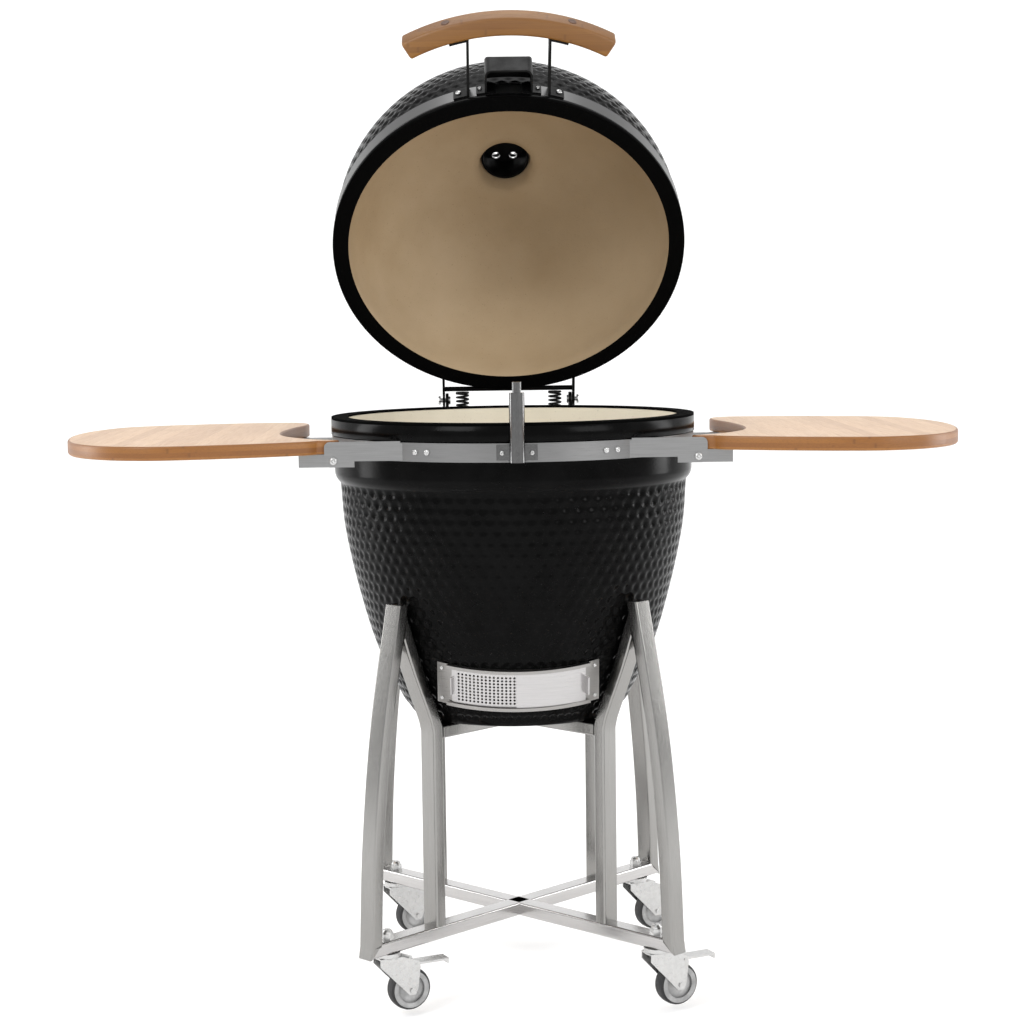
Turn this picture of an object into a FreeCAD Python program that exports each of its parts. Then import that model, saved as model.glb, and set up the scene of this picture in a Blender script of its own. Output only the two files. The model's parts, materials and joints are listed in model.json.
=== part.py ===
"""Kamado ceramic grill on a four-legged stand with casters and two folding side shelves.

Millimetres, +Z up, front towards -Y, floor at z = 0. Everything is built about the vertical axis
of the ceramic body; emit() then moves each piece so that the middle of the whole grill's
footprint is at the origin. The lid group is built shut and turned open about the hinge.
"""
import FreeCAD, Part
import os
from math import sin, cos, asin, atan2, degrees, radians, sqrt, pi
from FreeCAD import Vector as V, Rotation, Placement

os.makedirs("parts", exist_ok=True)

# ---- fits -------------------------------------------------------------------------------------
GAP = 0.5             # between curved faces of different moving bodies
RUN = 0.05            # radial running clearance of a pin in its bore

# ---- whole grill --------------------------------------------------------------------------------
AXIS_Y = -64.0        # the body's axis, from the middle of the whole footprint
RIM_Z = 872.0         # top face of the base gasket
RIM_R = 277.5         # outside of the rim flange
RIM_IN = 252.6        # inside of the rim
COLLAR_R = 273.2      # smooth ring of ceramic under each band
WALL = 25.0           # ceramic wall
GASKET_H = 3.0
BAND_T, BAND_H = 3.0, 27.0
BAND_Z = 817.0        # underside of the base band
BODY_Z0 = 415.0       # flat bottom of the ceramic body
LID_LIFT = 1.0        # between the two gaskets when shut
LID_BAND_Z = 13.0     # lid band above the lid's rim plane

# ---- lid and hinge
LID_H = 310.0         # rim plane to the top of the dome
LID_COLLAR = 48.0     # smooth part of the lid
LID_IN_H = 250.0      # rim plane to the inside of the dome
NECK_IN, NECK_OUT = 44.5, 39.5     # vent hole radius inside and outside
OPEN_DEG = 54.0
HINGE_Y, HINGE_Z = 305.0, 880.0

# ---- stand
BAR_W, BAR_T = 30.0, 20.0          # tube: across and radial
BAR_Z = 91.0          # underside of the lower bars
LEG_FOOT, LEG_TOP = 314.0, 249.0   # leg centre radius at the floor end and at its top
LEG_TOP_Z = 604.0
POST_R = 183.0        # inner post centre radius
POST_TOP_Z = 418.0
CASTER_R = 281.0      # swivel axes from the body's axis
WHEEL_R, WHEEL_W = 31.75, 23.0     # 2.5 inch casters
TRAIL = 33.0
TRAIL_DEG = 25.0      # all casters trail this way from +X

# ---- shelves
SHELF_Z, SHELF_T = 828.0, 20.0
SHELF_X = 671.0       # outer end of a shelf
PIVOT_X, PIVOT_Z = 262.0, 818.5
FRONT_Y, REAR_Y = -223.0, 196.0    # outer faces of the fixed shelf plates
PLATE_T = 3.0

# ---- vent
VENT_R = 210.0        # face of the vent frame
VENT_TILT = 15.0
VENT_FACE_Y, VENT_Z = -204.5, 478.5
VENT_W, VENT_H = 238.0, 64.0
SHEET = 1.2

Z = V(0, 0, 1)
O = V(0, 0, 0)


# ---- helpers ------------------------------------------------------------------------------------
def box(x0, x1, y0, y1, z0, z1):
    return Part.makeBox(x1 - x0, y1 - y0, z1 - z0, V(x0, y0, z0))


def cyl(r, p, d, h):
    return Part.makeCylinder(r, h, p, d)


def tube(ro, ri, z0, z1):
    return cyl(ro, V(0, 0, z0), Z, z1 - z0).cut(cyl(ri, V(0, 0, z0 - 1), Z, z1 - z0 + 2))


def curve(pts):
    if len(pts) == 2:
        return Part.makeLine(*pts)
    b = Part.BSplineCurve()
    b.interpolate(pts)
    return b.toShape()


def loop(*runs):
    """One flat face from runs of points: two points give a line, more give a smooth curve."""
    edges = [curve(r) for r in runs]
    return Part.Face(Part.Wire(Part.__sortEdges__(edges)))


def poly(pts):
    return Part.Face(Part.makePolygon(pts + [pts[0]]))


def turned(face):
    return face.revolve(O, Z, 360)


def spun(shape, deg, axis=Z, at=O):
    s = shape.copy()
    s.rotate(at, axis, deg)
    return s


def mirrored(shape):
    return shape.mirror(O, V(1, 0, 0))


def sector(ro, ri, z0, z1, a0, a1, at=O):
    """Ring sector; angles in degrees from the front (-Y), positive towards +X."""
    s = Part.makeCylinder(ro, z1 - z0, O, Z, a1 - a0)
    s = s.cut(cyl(ri, V(0, 0, -1), Z, z1 - z0 + 2))
    s.rotate(O, Z, a0 - 90)
    s.translate(at + V(0, 0, z0))
    return s


def fuse(items):
    s = items[0]
    for i in items[1:]:
        s = s.fuse(i)
    return s.removeSplitter()


def head(p, d, r=4.0, h=3.0):
    """Low domed bolt head standing on the face at p, pointing along d."""
    s = turned(poly([V(0, 0, 0), V(r, 0, 0), V(r, 0, h * .45), V(r * .72, 0, h * .88), V(0, 0, h)]))
    s.Placement = Placement(p, Rotation(Z, d))
    return s


def opened(shape):
    return spun(shape, -OPEN_DEG, V(1, 0, 0), V(0, HINGE_Y, HINGE_Z))


def emit(name, shape):
    s = shape.copy()
    s.translate(V(0, AXIS_Y, 0))
    s.exportStep("parts/%s.step" % name)
    return s


def emit_lid(name, shape):
    return emit(name, opened(shape))


# ---- ceramic body -------------------------------------------------------------------------------
BAND_TOP = BAND_Z + BAND_H
CERAMIC_TOP = RIM_Z - GASKET_H
BODY = [(770, 264.5), (700, 258.5), (610, 239.5), (520, 213), (446, 178), (428, 166)]   # height, radius


def p(r, z):
    return V(r, 0, z)


side = [p(r, z) for z, r in BODY]
outer_face = loop([p(0, CERAMIC_TOP), p(RIM_R, CERAMIC_TOP)],
                  [p(RIM_R, CERAMIC_TOP), p(RIM_R, BAND_TOP + 1.5)],
                  [p(RIM_R, BAND_TOP + 1.5), p(COLLAR_R, BAND_TOP + .5)],
                  [p(COLLAR_R, BAND_TOP + .5), p(COLLAR_R, 790)],
                  [p(COLLAR_R, 790), p(COLLAR_R - 2.5, 779), side[0]],
                  side,
                  [side[-1], p(161, 420), p(150, BODY_Z0)],
                  [p(150, BODY_Z0), p(0, BODY_Z0)],
                  [p(0, BODY_Z0), p(0, CERAMIC_TOP)])
body_solid = turned(outer_face)
inner = [p(r - WALL, z) for z, r in BODY[:4]] + [p(162, 462), p(140, BODY_Z0 + WALL)]
hollow = turned(loop([p(0, CERAMIC_TOP), p(RIM_IN, CERAMIC_TOP)],
                     [p(RIM_IN, CERAMIC_TOP), p(RIM_IN, 800)],
                     [p(RIM_IN, 800), p(RIM_IN - 5, 784), inner[0]],
                     inner,
                     [inner[-1], p(0, BODY_Z0 + WALL)],
                     [p(0, BODY_Z0 + WALL), p(0, CERAMIC_TOP)]))
DRAFT_W, DRAFT_Z0, DRAFT_Z1 = 96.0, 460.0, 500.0
draft = box(-DRAFT_W, DRAFT_W, -260, -120, DRAFT_Z0, DRAFT_Z1)
emit("base_shell", body_solid.cut(hollow).cut(draft))
emit("base_gasket", tube(RIM_R - .5, RIM_IN, CERAMIC_TOP, RIM_Z))
BAND_R = COLLAR_R + BAND_T
emit("base_band", tube(BAND_R, COLLAR_R, BAND_Z, BAND_TOP))

# ---- inside: firebox, fire ring and the two grates
FIRE = [(BODY_Z0 + WALL, 132), (500, 168), (600, 198), (640, 205)]
FIRE_T = 20.0
fire_out = [p(r, z) for z, r in FIRE]
fire_in = [p(r - FIRE_T, z) for z, r in FIRE[1:]]
floor_z = FIRE[0][0] + FIRE_T
firebox = turned(poly([p(0, FIRE[0][0])] + fire_out + fire_in[::-1]
                      + [p(fire_in[0].x - 14, 500), p(112, floor_z), p(0, floor_z)]))
firebox = firebox.cut(box(-60, 60, -260, -90, 462, 490))
for k in range(8):
    firebox = firebox.cut(spun(cyl(8, V(0, -240, 565), V(0, 1, 0), 120), 45 * k + 22.5))
emit("firebox", firebox)
RING_TOP = 806.0
ring_out = [p(213, 640), p(224, 700), p(231, 760), p(234, RING_TOP)]
ring_in = [V(q.x - FIRE_T, 0, q.z) for q in ring_out]
emit("fire_ring", turned(loop(ring_out, [ring_out[-1], ring_in[-1]], ring_in[::-1],
                              [ring_in[0], ring_out[0]])))
grate = cyl(146, V(0, 0, 500), Z, 10)
for k in range(-4, 5):
    half = sqrt(128 ** 2 - (26 * k) ** 2)
    grate = grate.cut(box(-half, half, 26 * k - 6, 26 * k + 6, 499, 511))
emit("charcoal_grate", grate)
GRATE_R, ROD, GRATE_T = 228.0, 5.0, 8.0
ring_i = GRATE_R - 4
grid = []
for k in range(-7, 8):
    grid.append(box(27 * k - ROD / 2, 27 * k + ROD / 2, -GRATE_R, GRATE_R, RING_TOP, RING_TOP + GRATE_T))
grid.append(box(-GRATE_R, GRATE_R, -ROD / 2, ROD / 2, RING_TOP, RING_TOP + GRATE_T))
grid = fuse(grid).common(cyl(GRATE_R - 2, V(0, 0, RING_TOP), Z, GRATE_T))
emit("cooking_grate", grid.fuse(tube(GRATE_R, ring_i, RING_TOP, RING_TOP + GRATE_T)).removeSplitter())

# ---- vent: conforming frame, perforated screen on the left, solid door on the right ------------
vent_axis = V(0, -sin(radians(VENT_TILT)), cos(radians(VENT_TILT)))
vent_c = V(0, VENT_FACE_Y + VENT_R * cos(radians(VENT_TILT)), VENT_Z + VENT_R * sin(radians(VENT_TILT)))
VENT_A = degrees(asin(VENT_W / 2 / VENT_R))


def vent_piece(ro, ri, t0, t1, a0, a1):
    """Ring sector about the vent's leaning axis; t runs up that axis from the frame's middle."""
    s = sector(ro, ri, t0, t1, a0, a1)
    s.Placement = Placement(vent_c, Rotation(V(1, 0, 0), VENT_TILT)).multiply(s.Placement)
    return s


WIN_H, LIP = 48.0, 5.0
half_h = VENT_H / 2
SCREEN_R = VENT_R + GAP
DOOR_R = SCREEN_R + SHEET + GAP
TRACK_R = DOOR_R + SHEET + GAP
frame = vent_piece(VENT_R, 150, -half_h, half_h, -VENT_A, VENT_A)
frame = frame.cut(vent_piece(VENT_R + 1, 140, -WIN_H / 2, WIN_H / 2, -VENT_A + 9, -1))
frame = frame.cut(body_solid)
rails = []
for s in (-1, 1):
    t = sorted((s * half_h, s * (half_h - 3)))
    lip = sorted((s * half_h, s * (half_h - LIP)))
    rails.append(vent_piece(TRACK_R, VENT_R, t[0], t[1], -VENT_A + 5, VENT_A - 5))
    rails.append(vent_piece(TRACK_R + 1.5, TRACK_R, lip[0], lip[1], -VENT_A + 5, VENT_A - 5))
frame = fuse([frame] + rails)
emit("vent_frame", frame)
leaf_h = half_h - 3 - GAP
LEAF_A = VENT_A - 7
screen = vent_piece(SCREEN_R + SHEET, SCREEN_R, -leaf_h, leaf_h, -LEAF_A, 2)
TAB = 5.0
screen_tab = vent_piece(SCREEN_R + SHEET + TAB, SCREEN_R + SHEET, -14, 14, -LEAF_A, -LEAF_A + .6)
emit("vent_screen", fuse([screen, screen_tab]))
door = vent_piece(DOOR_R + SHEET, DOOR_R, -leaf_h, leaf_h, -1, LEAF_A)
door_tab = vent_piece(DOOR_R + SHEET + TAB + 6, DOOR_R + SHEET, -14, 14, LEAF_A - .6, LEAF_A)
emit("vent_door", fuse([door, door_tab]))

# ---- damper post at the front -------------------------------------------------------------------
DP_R, DP_Y = 11.0, -294.0
DP_TOP, ROD_TOP, DP_ROD_R = 916.0, 931.0, 6.3
post = cyl(DP_R, V(0, DP_Y, BAND_Z + 1), Z, DP_TOP - BAND_Z - 1)
post = post.fuse(box(-13, 13, DP_Y, -BAND_R + 6, BAND_Z + 3, BAND_TOP - 2))
post = post.fuse(sector(BAND_R + 3, BAND_R, BAND_Z + 3, BAND_TOP - 2, -6, 6))
post = post.cut(cyl(BAND_R, V(0, 0, BAND_Z), Z, 120)).cut(cyl(RIM_R + 1, V(0, 0, BAND_TOP), Z, 120))
post = post.cut(cyl(DP_ROD_R + RUN, V(0, DP_Y, DP_TOP - 55), Z, 60))
emit("damper_post", post)
emit("damper_rod", cyl(DP_ROD_R, V(0, DP_Y, DP_TOP - 40), Z, ROD_TOP - DP_TOP + 40))

# ---- stand --------------------------------------------------------------------------------------
t, w = BAR_T / 2, BAR_W / 2
BAR_TOP = BAR_Z + BAR_T


def radial(face):
    """Extrudes a face drawn in the X-Z plane to the tube's width, and points it front right."""
    s = face.extrude(V(0, BAR_W, 0))
    s.translate(V(0, -w, 0))
    return spun(s, -45)


leg_c = [(LEG_FOOT, BAR_Z), (305.5, 251), (285, 424), (LEG_TOP, LEG_TOP_Z)]
leg = radial(loop([p(LEG_FOOT - t, BAR_TOP), p(LEG_FOOT + t, BAR_Z)],
                  [p(r + t, z) for r, z in leg_c],
                  [p(LEG_TOP + t, LEG_TOP_Z), p(LEG_TOP - t, LEG_TOP_Z)],
                  [p(LEG_TOP - t, LEG_TOP_Z), p(285 - t, 424), p(305.5 - t, 251),
                   p(LEG_FOOT - t, BAR_TOP)]))
brace_in = [p(POST_R - t, POST_TOP_Z - 6), p(212, 508), p(LEG_TOP - t, LEG_TOP_Z)]
brace_out = [p(POST_R + t, POST_TOP_Z - 6), p(212 + t * 2.15, 508), p(LEG_TOP + t, LEG_TOP_Z)]
post = radial(loop([p(POST_R - t, BAR_TOP), p(POST_R + t, BAR_TOP)],
                   [p(POST_R + t, BAR_TOP), brace_out[0]], brace_out,
                   [brace_out[-1], brace_in[-1]], brace_in[::-1],
                   [brace_in[0], p(POST_R - t, BAR_TOP)])).cut(leg)
post = max(post.Solids, key=lambda s: s.Volume)
bar = Part.makePolygon([p(0, 0), V(w, -w, 0), V(LEG_FOOT + t, -w, 0), V(LEG_FOOT + t, w, 0),
                        V(w, w, 0), p(0, 0)])
bar = Part.Face(bar).extrude(V(0, 0, BAR_T))
bar.translate(V(0, 0, BAR_Z))
bar = spun(bar, -45).cut(leg)
bar = max(bar.Solids, key=lambda s: s.Volume)
STEM_R = 6.0
s45 = sqrt(.5)
stem_at = V(CASTER_R * s45, -CASTER_R * s45, 0)
bar = bar.cut(cyl(STEM_R, stem_at, Z, 200))
CORNERS = [("fr", 0), ("rr", 90), ("rl", 180), ("fl", 270)]
for tag, a in CORNERS:
    emit("outer_leg_" + tag, spun(leg, a))
    emit("inner_post_" + tag, spun(post, a))
    emit("lower_bar_" + tag, spun(bar, a))
arm = box(0, POST_R - t, -w, w, BODY_Z0 - BAR_T, BODY_Z0)
cross = fuse([spun(arm, 45 + 90 * k) for k in range(4)])
emit("upper_cross", cross)

# ---- casters ------------------------------------------------------------------------------------
RACE_Z = BAR_Z - 6.0
nut = Part.Face(Part.Wire(Part.makePolygon([V(10 * cos(radians(k)), 10 * sin(radians(k)), 0)
                                            for k in range(0, 361, 60)]))).extrude(V(0, 0, 8))
stems = []
for tag, a in CORNERS:
    q = spun(Part.Vertex(stem_at), a).Point
    dome = head(q + V(0, 0, BAR_TOP + 8), Z, 8.0, 6.5)
    n = nut.copy()
    n.translate(q + V(0, 0, BAR_TOP))
    stems.append(fuse([cyl(STEM_R, q + V(0, 0, 81), Z, BAR_TOP - 81), cyl(19, q + V(0, 0, RACE_Z), Z, 6),
                       n, dome]))
emit("caster_stems", Part.makeCompound(stems))

CHEEK_IN, CHEEK_T, AXLE_R = 13.0, 2.5, 4.0
PEDAL_X, PEDAL_Z, PEDAL_END = 40.0, 69.5, 94.0
FORK_TOP = RACE_Z - GAP


def fork(brake):
    """Fork of a caster whose swivel axis is Z and which trails along +X."""
    out = loop([p(-17, FORK_TOP), p(17, FORK_TOP)],
               [p(17, FORK_TOP), p(PEDAL_X + 5, PEDAL_Z + 5)],
               [p(PEDAL_X + 5, PEDAL_Z + 5), p(PEDAL_X + 6, PEDAL_Z - 4)],
               [p(PEDAL_X + 6, PEDAL_Z - 4), p(TRAIL + 9, WHEEL_R + 2)],
               [p(TRAIL + 9, WHEEL_R + 2), p(TRAIL + 5, WHEEL_R - 7)],
               [p(TRAIL + 5, WHEEL_R - 7), p(TRAIL - 5, WHEEL_R - 7)],
               [p(TRAIL - 5, WHEEL_R - 7), p(-17, FORK_TOP - 12)],
               [p(-17, FORK_TOP - 12), p(-17, FORK_TOP)])
    parts = []
    for y in (-CHEEK_IN - CHEEK_T, CHEEK_IN):
        c = out.extrude(V(0, CHEEK_T, 0))
        c.translate(V(0, y, 0))
        parts.append(c)
    parts.append(box(-17, 17, -CHEEK_IN, CHEEK_IN, FORK_TOP - 2.5, FORK_TOP))
    parts.append(cyl(18.5, V(0, 0, FORK_TOP - 2.5), Z, 2.5))
    parts.append(cyl(AXLE_R, V(TRAIL, -CHEEK_IN - 5, WHEEL_R), V(0, 1, 0), 2 * CHEEK_IN + 10))
    if brake:
        parts.append(cyl(2.0, V(PEDAL_X, -CHEEK_IN - 3.5, PEDAL_Z), V(0, 1, 0), 2 * CHEEK_IN + 7))
    return fuse(parts).cut(cyl(STEM_R + RUN, V(0, 0, 70), Z, 30))


hub = turned(loop([p(AXLE_R + RUN, -12), p(7, -12)], [p(7, -12), p(8, -8)],
                  [p(8, -8), p(23, -6)], [p(23, -6), p(23, 6)], [p(23, 6), p(8, 8)],
                  [p(8, 8), p(7, 12)], [p(7, 12), p(AXLE_R + RUN, 12)],
                  [p(AXLE_R + RUN, 12), p(AXLE_R + RUN, -12)]))
hw = WHEEL_W / 2
tyre = turned(poly([p(23, -hw + 2), p(WHEEL_R - 3, -hw), p(WHEEL_R - .8, -hw + 3), p(WHEEL_R, -4),
                    p(WHEEL_R, 4), p(WHEEL_R - .8, hw - 3), p(WHEEL_R - 3, hw), p(23, hw - 2)]))
pedal = box(PEDAL_X - 5, PEDAL_END, -11.5, 11.5, PEDAL_Z - 1.5, PEDAL_Z + 1.5)
pedal = pedal.fuse(cyl(4.5, V(PEDAL_X, -11.5, PEDAL_Z), V(0, 1, 0), 23))
pedal = pedal.fuse(box(PEDAL_END - 3, PEDAL_END, -11.5, 11.5, PEDAL_Z - 6, PEDAL_Z))
pedal = pedal.cut(cyl(2.0 + RUN, V(PEDAL_X, -20, PEDAL_Z), V(0, 1, 0), 40)).removeSplitter()
up_y = Rotation(Z, V(0, 1, 0))
for s in (hub, tyre):
    s.Placement = Placement(V(TRAIL, 0, WHEEL_R), up_y)
for tag, a in CORNERS:
    q = spun(Part.Vertex(stem_at), a).Point
    brake = tag[0] == "f"
    for name, s in (("caster_fork_", fork(brake)), ("wheel_hub_", hub), ("tyre_", tyre)) + (
            (("brake_pedal_", pedal),) if brake else ()):
        s = spun(s, TRAIL_DEG)
        s.translate(q)
        emit(name + tag, s)

# ---- lid, built shut ----------------------------------------------------------------------------
LID_Z = RIM_Z + LID_LIFT                   # underside of the lid gasket when shut
CER_Z = LID_Z + GASKET_H
DOME_Z = LID_Z + LID_COLLAR
DOME_H = LID_H - LID_COLLAR


def dome_pts(r0, r1, z0, h, n=5):
    """Quarter ellipse from radius r0 at height z0 to radius r1 near the top."""
    a1 = atan2(sqrt(r0 ** 2 - r1 ** 2), r1)
    return [p(r0 * cos(a1 * k / n), z0 + h * sin(a1 * k / n)) for k in range(n + 1)]


NECK_TOP = LID_Z + 300.0
out_pts = dome_pts(COLLAR_R, NECK_OUT + 8, DOME_Z, DOME_H)
in_pts = dome_pts(RIM_IN, NECK_IN, LID_Z + 30, LID_IN_H - 30)
lid_face = loop([p(RIM_IN, CER_Z), p(RIM_R, CER_Z)],
                [p(RIM_R, CER_Z), p(RIM_R, LID_Z + LID_BAND_Z - 2)],
                [p(RIM_R, LID_Z + LID_BAND_Z - 2), p(COLLAR_R, LID_Z + LID_BAND_Z - 1)],
                [p(COLLAR_R, LID_Z + LID_BAND_Z - 1), p(COLLAR_R, DOME_Z)],
                out_pts, [out_pts[-1], p(NECK_OUT, out_pts[-1].z)],
                [p(NECK_OUT, out_pts[-1].z), in_pts[-1]], in_pts[::-1],
                [in_pts[0], p(RIM_IN, CER_Z)])
lid_solid = turned(lid_face)
emit_lid("lid_shell", lid_solid)
emit_lid("lid_gasket", tube(RIM_R - .5, RIM_IN, LID_Z, CER_Z))
LB0 = LID_Z + LID_BAND_Z
emit_lid("lid_band", tube(BAND_R, COLLAR_R, LB0, LB0 + BAND_H))

# ---- handle -------------------------------------------------------------------------------------
GRIP, GRIP_R, GRIP_LEN = 30.0, 325.0, 318.0
STRAP_X, STRAP_T, STRAP_W, STRAP_LEN = 61.0, 4.0, 25.0, 95.0
grip_y = -(BAND_R + STRAP_LEN + GRIP) + GRIP_R          # centre of the grip's curve
grip_c = V(0, grip_y, 0)
GA = degrees(asin(GRIP_LEN / 2 / GRIP_R))
gz = LB0 + BAND_H / 2 - GRIP / 2
grip = sector(GRIP_R, GRIP_R - GRIP, gz, gz + GRIP, -GA, GA, grip_c)
edges = [e for e in grip.Edges if e.Length > GRIP_LEN * .8]
grip = grip.makeFillet(4, edges)
emit_lid("handle_grip", grip)
sz = LB0 + (BAND_H - STRAP_W) / 2
straps = []
for s in (-1, 1):
    a = degrees(asin(STRAP_X / BAND_R))
    b = degrees(asin(STRAP_X / (GRIP_R - GRIP)))
    strap = box(STRAP_X - STRAP_T / 2, STRAP_X + STRAP_T / 2, -420, -200, sz, sz + STRAP_W)
    strap = strap.cut(cyl(BAND_R, O, Z, 1200)).common(cyl(GRIP_R - GRIP, grip_c, Z, 1200))
    strap = strap.fuse(sector(BAND_R + 3, BAND_R, sz, sz + STRAP_W, a - .2, a + 4.6))
    strap = strap.fuse(sector(GRIP_R - GRIP, GRIP_R - GRIP - 3, sz, sz + STRAP_W, b - .2, b + 5.5,
                              grip_c)).removeSplitter()
    straps.append(strap if s > 0 else mirrored(strap))
emit_lid("handle_straps", Part.makeCompound(straps))

# ---- striker housing over the damper post -------------------------------------------------------
HB_W, HB_D, HB_TOP = 72.0, 38.0, ROD_TOP + 5.0
hz = LB0 + 1
y0 = -(BAND_R + HB_D)
outer = box(-HB_W / 2, HB_W / 2, y0, -200, hz, HB_TOP)
outer = outer.makeFillet(11, [e for e in outer.Edges if abs(e.CenterOfMass.y - y0) < .1
                              and (e.CenterOfMass.z > HB_TOP - .1 or abs(e.CenterOfMass.x) > 35)])
cav = box(-HB_W / 2 + 3, HB_W / 2 - 3, y0 + 3, -200, hz - 1, HB_TOP - 3)
cav = cav.makeFillet(8, [e for e in cav.Edges if abs(e.CenterOfMass.y - y0 - 3) < .1
                         and (e.CenterOfMass.z > HB_TOP - 3.1 or abs(e.CenterOfMass.x) > 32)])
housing = outer.cut(cav).cut(cyl(BAND_R, O, Z, 1200))
fl = degrees(asin(HB_W / 2 / BAND_R))
for s in (-1, 1):
    f = sector(BAND_R + 3, BAND_R, LB0 + 1, LB0 + 26, fl - 3.4, fl + 2.6)
    housing = housing.fuse(f if s > 0 else mirrored(f))
emit_lid("striker_housing", housing)

# ---- chimney: fixed flange with a neck, and a turning domed cap ----------------------------------
PLATE_Z = LID_Z + 318.0
CAP_R, CAP_H, HOLE_R, PITCH_R, PIN_R = 56.0, 20.0, 7.0, 29.0, 4.0
top = tube(NECK_OUT, NECK_OUT - 3, NECK_TOP - 30, PLATE_Z)
top = top.common(turned(loop([p(0, 0), p(NECK_OUT, 0)], [p(NECK_OUT, 0), p(NECK_OUT, 2000)],
                             [p(NECK_OUT, 2000), p(0, 2000)], [p(0, 2000), p(0, 0)])))
flange = tube(60, NECK_OUT - 3, LID_Z + 285, PLATE_Z).cut(lid_solid)
plug = tube(60, NECK_OUT, LID_Z + 280, out_pts[-1].z - .5)
base = flange.cut(plug).fuse(cyl(60, V(0, 0, PLATE_Z), Z, 3))
base = base.fuse(top.cut(lid_solid)).fuse(cyl(PIN_R, V(0, 0, PLATE_Z), Z, 32))
holes = [spun(cyl(HOLE_R, V(PITCH_R, 0, PLATE_Z - 5), Z, 60), 60 * k) for k in range(6)]
base = base.cut(Part.makeCompound([h.common(cyl(60, V(0, 0, PLATE_Z - 5), Z, 12)) for h in holes]))
base = max(base.Solids, key=lambda s: s.Volume)
emit_lid("chimney_base", base)
cz = PLATE_Z + 3 + GAP
cap = turned(loop([p(PIN_R + RUN, cz), p(CAP_R, cz)], [p(CAP_R, cz), p(CAP_R, cz + 3)],
                  [p(CAP_R, cz + 3), p(CAP_R - 9, cz + 11), p(30, cz + 17), p(PIN_R + RUN, cz + CAP_H)],
                  [p(PIN_R + RUN, cz + CAP_H), p(PIN_R + RUN, cz + CAP_H - 3)],
                  [p(PIN_R + RUN, cz + CAP_H - 3), p(30, cz + 14), p(CAP_R - 12, cz + 9),
                   p(CAP_R - 4, cz + 3)],
                  [p(CAP_R - 4, cz + 3), p(PIN_R + RUN, cz + 3)],
                  [p(PIN_R + RUN, cz + 3), p(PIN_R + RUN, cz)]))
cap = cap.cut(Part.makeCompound(holes))
emit_lid("chimney_rotor", cap)

# ---- hinge --------------------------------------------------------------------------------------
CHEEK_X, STRAP_HX, PIN_H = 100.0, 106.0, 4.0
back = [sector(BAND_R + 3, BAND_R, BAND_Z + 1, BAND_TOP - 1, 180 - 24, 180 + 24)]
hinge_c = V(0, HINGE_Y, HINGE_Z)
for s in (-1, 1):
    x = CHEEK_X if s > 0 else -CHEEK_X - 5
    cheek = poly([V(x, 240, BAND_Z + 1), V(x, HINGE_Y + 4, BAND_Z + 4), V(x, HINGE_Y + 12, HINGE_Z),
                  V(x, HINGE_Y - 12, HINGE_Z), V(x, 240, BAND_TOP - 1)]).extrude(V(5, 0, 0))
    back.append(cheek.fuse(cyl(12, V(x, HINGE_Y, HINGE_Z), V(1, 0, 0), 5)))
SEAT_Z = 834.0
back.append(box(-CHEEK_X, CHEEK_X, 270, HINGE_Y + 6, SEAT_Z - 4, SEAT_Z))
lower = fuse(back).cut(cyl(BAND_R, V(0, 0, BAND_Z - 5), Z, BAND_H + 10))
lower = lower.cut(cyl(RIM_R + GAP, V(0, 0, BAND_TOP - .5), Z, 40))
for s in (-1, 1):
    lower = lower.cut(cyl(PIN_H, V(s * 98, HINGE_Y, HINGE_Z), V(s, 0, 0), 20))
emit("hinge_lower", lower)
pins = []
for s in (-1, 1):
    x = V(s * (CHEEK_X - 3), HINGE_Y, HINGE_Z)
    pins.append(fuse([cyl(PIN_H, x, V(s, 0, 0), 16.5), cyl(7, x, V(s, 0, 0), 3),
                      head(x + V(s * 16.5, 0, 0), V(s, 0, 0), 8.0, 5.5)]))
emit("hinge_pins", Part.makeCompound(pins))
ups = [sector(BAND_R + 3, BAND_R, LB0 + 1, LB0 + BAND_H - 1, 180 - 25, 180 + 25)]
for s in (-1, 1):
    x = STRAP_HX if s > 0 else -STRAP_HX - 4
    ups.append(poly([V(x, 240, LB0 + 1), V(x, HINGE_Y - 8, HINGE_Z - 9), V(x, HINGE_Y + 10, HINGE_Z),
                     V(x, HINGE_Y + 4, HINGE_Z + 12), V(x, 240, LB0 + BAND_H - 1)]).extrude(V(4, 0, 0)))
    ups.append(cyl(11, V(x, HINGE_Y, HINGE_Z), V(1, 0, 0), 4))
spring_top = spun(Part.Vertex(V(0, HINGE_Y, HINGE_Z + 19)), OPEN_DEG, V(1, 0, 0), hinge_c).Point
ups.append(cyl(4, spring_top - V(STRAP_HX, 0, 0), V(1, 0, 0), 2 * STRAP_HX))
upper = fuse(ups).cut(cyl(BAND_R, V(0, 0, LB0 - 5), Z, BAND_H + 10))
upper = upper.cut(cyl(RIM_R + GAP, V(0, 0, LB0 - 60), Z, 59))
for s in (-1, 1):
    upper = upper.cut(cyl(PIN_H + RUN, V(s * 98, HINGE_Y, HINGE_Z), V(s, 0, 0), 20))
emit_lid("hinge_upper", upper)
SPRING_X, SPRING_OD, WIRE = 77.0, 23.0, 3.5
coil_top = HINGE_Z + 19 - 4 - .5
springs = []
for s in (-1, 1):
    c = V(s * SPRING_X, HINGE_Y - 6, SEAT_Z)
    h = coil_top - SEAT_Z
    springs.append(cyl(SPRING_OD / 2, c, Z, h).cut(cyl(SPRING_OD / 2 - WIRE, c, Z, h)))
emit("hinge_springs", Part.makeCompound(springs))

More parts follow.
